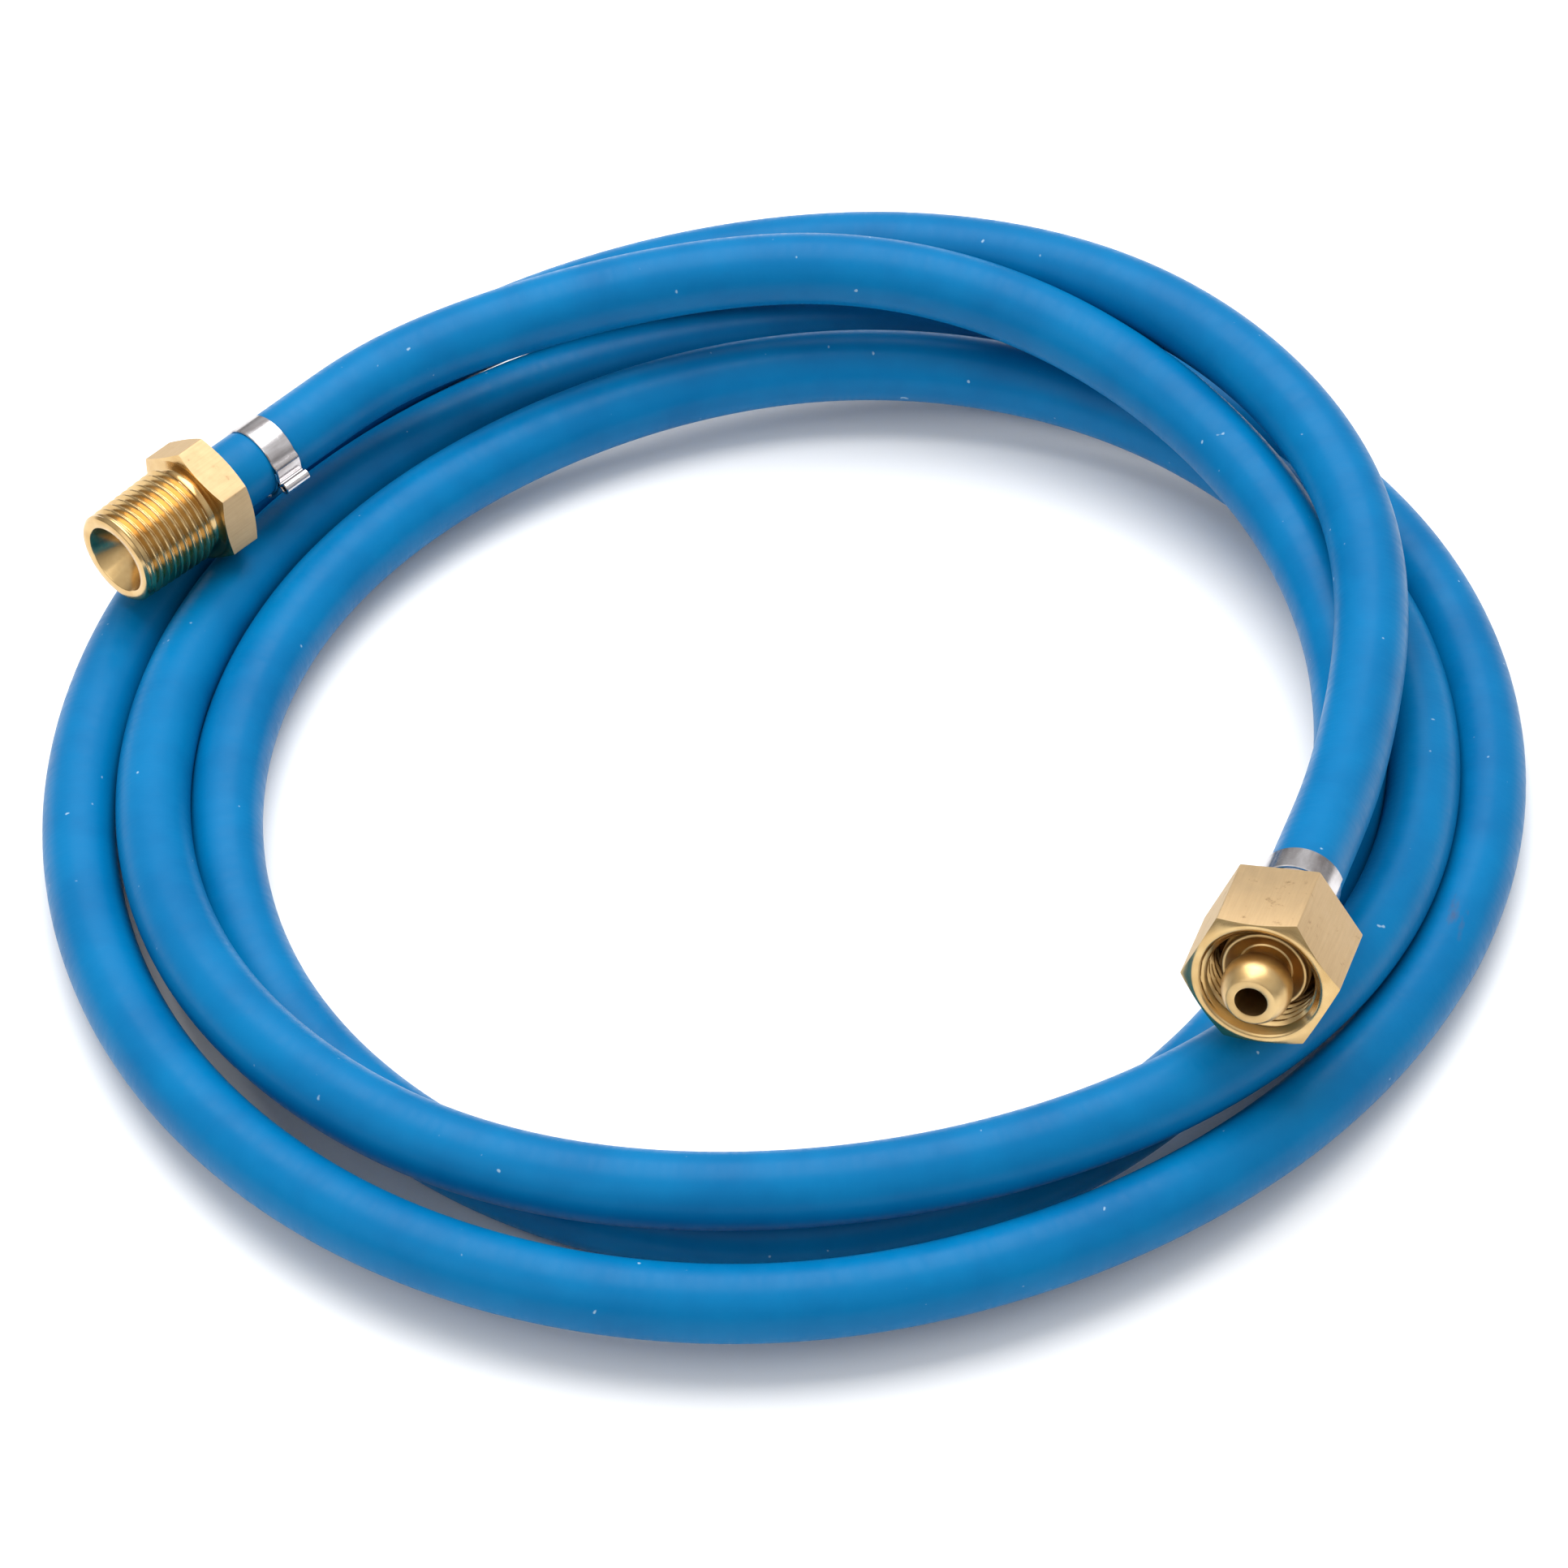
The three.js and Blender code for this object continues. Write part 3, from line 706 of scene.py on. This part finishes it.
# %% [markdown]
# The rubber is one blue, a little deeper in places. Noise that is long across the hose and short
# along it gives the faint wrap of the curing cloth. The rest is wear: pale dust specks, and a few
# brown scuffs where the hose was dragged. The noise reads the place that each point would have if
# the hose lay straight, so the marks follow the turns. A painted image could do the same, but it
# would have to be very long for so long a hose.

# %% Rubber
BLUE = (0.0, 0.15, 0.36)
DEEP_BLUE = (0.0, 0.12, 0.305)
SCUFF = (0.10, 0.055, 0.06)
DUST = (0.35, 0.5, 0.62)
rubber, nodes, links, shader = new_material("matt_blue_rubber", BLUE, 0, 0.5)
shader.inputs["Specular IOR Level"].default_value = 0.1
straight_place = own_place(nodes, "straight")
mottle = noise(nodes, links, straight_place, 60, 3, 0.5)
tone = blend(nodes, links, ramp(nodes, links, mottle, 0.35, 0.7), BLUE, DEEP_BLUE)
scuff_field = noise(nodes, links, stretched(nodes, links, straight_place, (1, 1, 0.35)), 75, 5, 0.65)
scuffed = blend(nodes, links, ramp(nodes, links, scuff_field, 0.70, 0.80, 0, 0.6), tone, SCUFF)
dust_field = noise(nodes, links, straight_place, 520, 1, 0.3)
dusty = blend(nodes, links, ramp(nodes, links, dust_field, 0.80, 0.84, 0, 0.7), scuffed, DUST)
links.new(dusty, shader.inputs["Base Color"])
wrap = noise(nodes, links, stretched(nodes, links, straight_place, (0.6, 0.6, 2.4)), 330, 2, 0.5)
grain = noise(nodes, links, straight_place, 2600, 2, 0.6)
links.new(ramp(nodes, links, wrap, 0.3, 0.7, 0.3, 0.44), shader.inputs["Roughness"])
under = bumped(nodes, links, shader, wrap, 0.4, 0.0001)
bumped(nodes, links, shader, grain, 0.2, 0.00002, under)
hose.data.materials.append(rubber)
print(rubber.name, len(nodes), "nodes")

# %% [markdown]
# Brass has two finishes. Flats keep the satin skin of the drawn bar, with fine lines along it and
# brown stains. Everything that was turned is brighter, with rings round the axis. We mark the flats
# face by face, since a chamfer and a flat share an edge but not a finish.

# %% Brass: mark the flats
def mark_flats(piece, end, flats):
    """Writes 1 on faces that run along the bar at the hexagon's distance, and 0 elsewhere."""
    place = end_frame(end)
    faces = piece.data.polygons
    normals = np.empty(len(faces) * 3)
    faces.foreach_get("normal", normals)
    centres = np.empty(len(faces) * 3)
    faces.foreach_get("center", centres)
    away = centres.reshape(-1, 3) - place["at"]
    along_bar = away @ place["out"]
    outward = np.linalg.norm(away - along_bar[:, None] * place["out"], axis=1)
    level = np.abs(normals.reshape(-1, 3) @ place["out"]) < 0.05
    drawn = level & (outward > (flats / 2 - 0.2) * MM)
    attribute = piece.data.attributes.new("drawn", "FLOAT", "FACE")
    attribute.data.foreach_set("value", drawn.astype(np.float32))
    print(piece.name, int(drawn.sum()), "faces on the flats")


# the nipple has no flats: it gets zeros, because every brass finish reads this mark
mark_flats(male, MALE_END, MALE_FLATS)
mark_flats(nut, NUT_END, NUT_FLATS)
mark_flats(nipple, NUT_END, NUT_FLATS)

# %% Brass
GOLD = (0.62, 0.44, 0.21)
WARM_GOLD = (0.50, 0.32, 0.13)
TAN = (0.60, 0.435, 0.245)
STAIN = (0.22, 0.125, 0.05)


def brass_material(name, smooth, rough):
    """Brass whose turned faces vary between two roughnesses."""
    brass, nodes, links, shader = new_material(name, GOLD, 1, smooth)
    bar_place = own_place(nodes, "bar")
    drawn = nodes.new("ShaderNodeAttribute")
    drawn.attribute_name = "drawn"
    on_flats = drawn.outputs["Fac"]
    tint = noise(nodes, links, bar_place, 160, 3, 0.5)
    turned = blend(nodes, links, ramp(nodes, links, tint, 0.35, 0.7), GOLD, WARM_GOLD)
    lines = noise(nodes, links, stretched(nodes, links, bar_place, (1, 1, 0.05)), 2200, 2, 0.6)
    stains = noise(nodes, links, bar_place, 330, 4, 0.7)
    skin = blend(nodes, links, ramp(nodes, links, lines, 0.35, 0.75, 0, 0.13), TAN, STAIN)
    spotted = blend(nodes, links, ramp(nodes, links, stains, 0.62, 0.74, 0, 0.6), skin, STAIN)
    links.new(blend(nodes, links, on_flats, turned, spotted), shader.inputs["Base Color"])
    lathe = noise(nodes, links, stretched(nodes, links, bar_place, (0.02, 0.02, 1)), 3800, 2, 0.6)
    worn = ramp(nodes, links, stains, 0.3, 0.7, 0.58, 0.68)
    bright = ramp(nodes, links, lathe, 0.3, 0.7, smooth, rough)
    links.new(mixed(nodes, links, on_flats, bright, worn), shader.inputs["Roughness"])
    under = bumped(nodes, links, shader, lines, 0.1, 0.00001)
    bumped(nodes, links, shader, lathe, 0.12, 0.00001, under)
    print(name, len(nodes), "nodes")
    return brass


bright_brass = brass_material("turned_brass", 0.17, 0.27)
male.data.materials.append(bright_brass)
nut.data.materials.append(bright_brass)
nipple.data.materials.append(brass_material("satin_brass", 0.3, 0.4))

# %% [markdown]
# The clamps are bright strip, rolled lengthwise, so fine scratches run along it and change how it
# shines from line to line. Duller, tarnished clouds reach across it. Both read the place along,
# across and through the strip, so they follow it round the hose and over the ear. One even finish
# would be simpler, but it would look too clean for a clamp that has been used.

# %% Steel
BRIGHT_STEEL = (0.60, 0.58, 0.59)
DULL_STEEL = (0.33, 0.30, 0.30)
steel, nodes, links, shader = new_material("bright_strip_steel", BRIGHT_STEEL, 1, 0.2)
strip_place = own_place(nodes, "strip")
scratch = noise(nodes, links, stretched(nodes, links, strip_place, (1, 14, 1)), 700, 3, 0.6)
cloud = noise(nodes, links, stretched(nodes, links, strip_place, (1, 0.3, 1)), 260, 3, 0.6)
tarnish = blend(nodes, links, ramp(nodes, links, cloud, 0.4, 0.7), BRIGHT_STEEL, DULL_STEEL)
links.new(tarnish, shader.inputs["Base Color"])
links.new(ramp(nodes, links, scratch, 0.3, 0.7, 0.12, 0.28), shader.inputs["Roughness"])
bumped(nodes, links, shader, scratch, 0.15, 0.00001)
for piece in (male_clamp, nut_clamp):
    piece.data.materials.append(steel)
print(steel.name, len(nodes), "nodes")

# %% [markdown]
# ## Floor and light
# A pale floor that runs out of sight, a sky that is bright overhead and dim at the horizon, one
# large soft light above and one beside the camera. Shadows stay soft and the top of each turn gets
# a long highlight. A sky of one brightness would be simpler, but brass would look pale in it: it
# needs something dark to reflect next to something bright.

# %% Floor
floor_mesh = bpy.data.meshes.new("studio_floor")
floor_mesh.from_pydata([(-4, -4, 0), (4, -4, 0), (4, 4, 0), (-4, 4, 0)], [], [(0, 1, 2, 3)])
floor = bpy.data.objects.new("studio_floor", floor_mesh)
scene.collection.objects.link(floor)
floor.location = (0, 0, -0.0002)
paper, nodes, links, shader = new_material("pale_paper", (0.92, 0.92, 0.92), 0, 0.9)
shader.inputs["Specular IOR Level"].default_value = 0.1
floor_mesh.materials.append(paper)
print("floor", tuple(floor.dimensions))

# %% Lights
def soft_light(name, place, target, size, power):
    """A square light that faces a point."""
    data = bpy.data.lights.new(name, "AREA")
    data.size = size
    data.energy = power
    light = bpy.data.objects.new(name, data)
    light.location = place
    aim = np.array(target) - np.array(place)
    tip = math.acos(-aim[2] / np.linalg.norm(aim))
    light.rotation_euler = (tip, 0, math.atan2(aim[1], aim[0]) - math.pi / 2)
    scene.collection.objects.link(light)
    print(name, "is", round(float(np.linalg.norm(aim)), 2), "m away")


soft_light("overhead", (-0.25, 0.45, 1.5), (0, 0, 0), 1.5, 31)
soft_light("beside_camera", (-0.7, -1.4, 1.2), (0, 0, 0), 1.2, 4)

# %% Sky
ZENITH, HORIZON = 0.9, 0.3
world = bpy.data.worlds.new("studio")
world.use_nodes = True
nodes, links = world.node_tree.nodes, world.node_tree.links
direction = nodes.new("ShaderNodeTexCoord").outputs["Generated"]
parts = nodes.new("ShaderNodeSeparateXYZ")
links.new(direction, parts.inputs["Vector"])
brightness = ramp(nodes, links, parts.outputs["Z"], 0.05, 0.6, HORIZON, ZENITH)
links.new(brightness, nodes["Background"].inputs["Strength"])
nodes["Background"].inputs["Color"].default_value = (1, 1, 1, 1)
scene.world = world
print("sky from", HORIZON, "at the horizon to", ZENITH, "overhead")
scene.view_settings.view_transform = "Standard"
